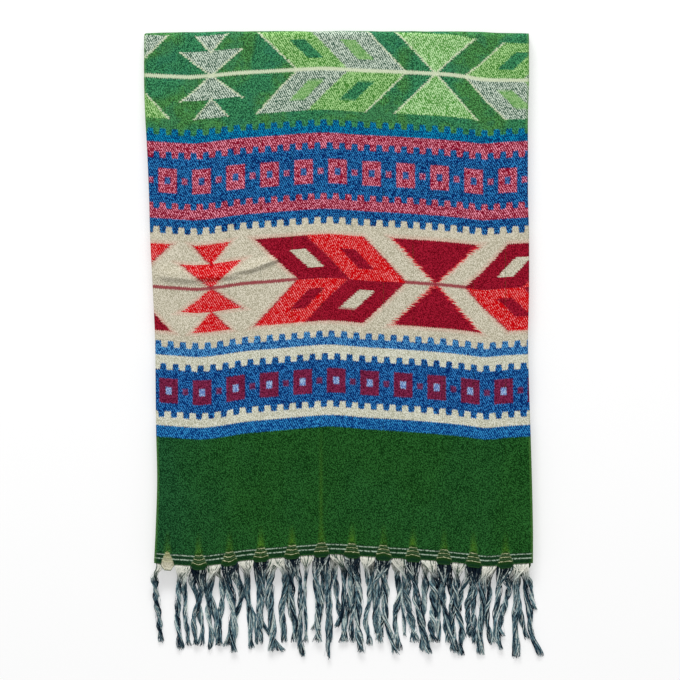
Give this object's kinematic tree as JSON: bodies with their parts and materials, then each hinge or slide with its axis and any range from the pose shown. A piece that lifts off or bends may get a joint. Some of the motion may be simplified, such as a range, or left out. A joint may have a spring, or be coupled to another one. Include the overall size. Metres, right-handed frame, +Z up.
{
  "type": "folded fringed shawl",
  "caption": "Woven shawl with banded geometric pattern and fringe, folded into a flat rectangular pack lying on a surface.",
  "frame": {"origin": "middle of the whole footprint, fringe included, on the surface that the folded shawl lies on", "axes": "+Z up from the surface, +Y from the fringe towards the top fold, +X from the long fold towards the selvedges"},
  "size_m": [0.3984, 0.6302, 0.0143],
  "materials": {
    "brushed_cloth": "brushed figured weave in greens, blue, pink, red, maroon and cream",
    "folded_cloth": "edges of the same brushed weave, layer on layer",
    "fringe_yarn": "loose hanks of matt dark blue, teal and pale yarn"
  },
  "bodies": {
    "root": {"front_panel": "brushed_cloth", "folded_layers": "folded_cloth", "fringe_front": "fringe_yarn", "fringe_back": "fringe_yarn"}
  },
  "joints": []
}
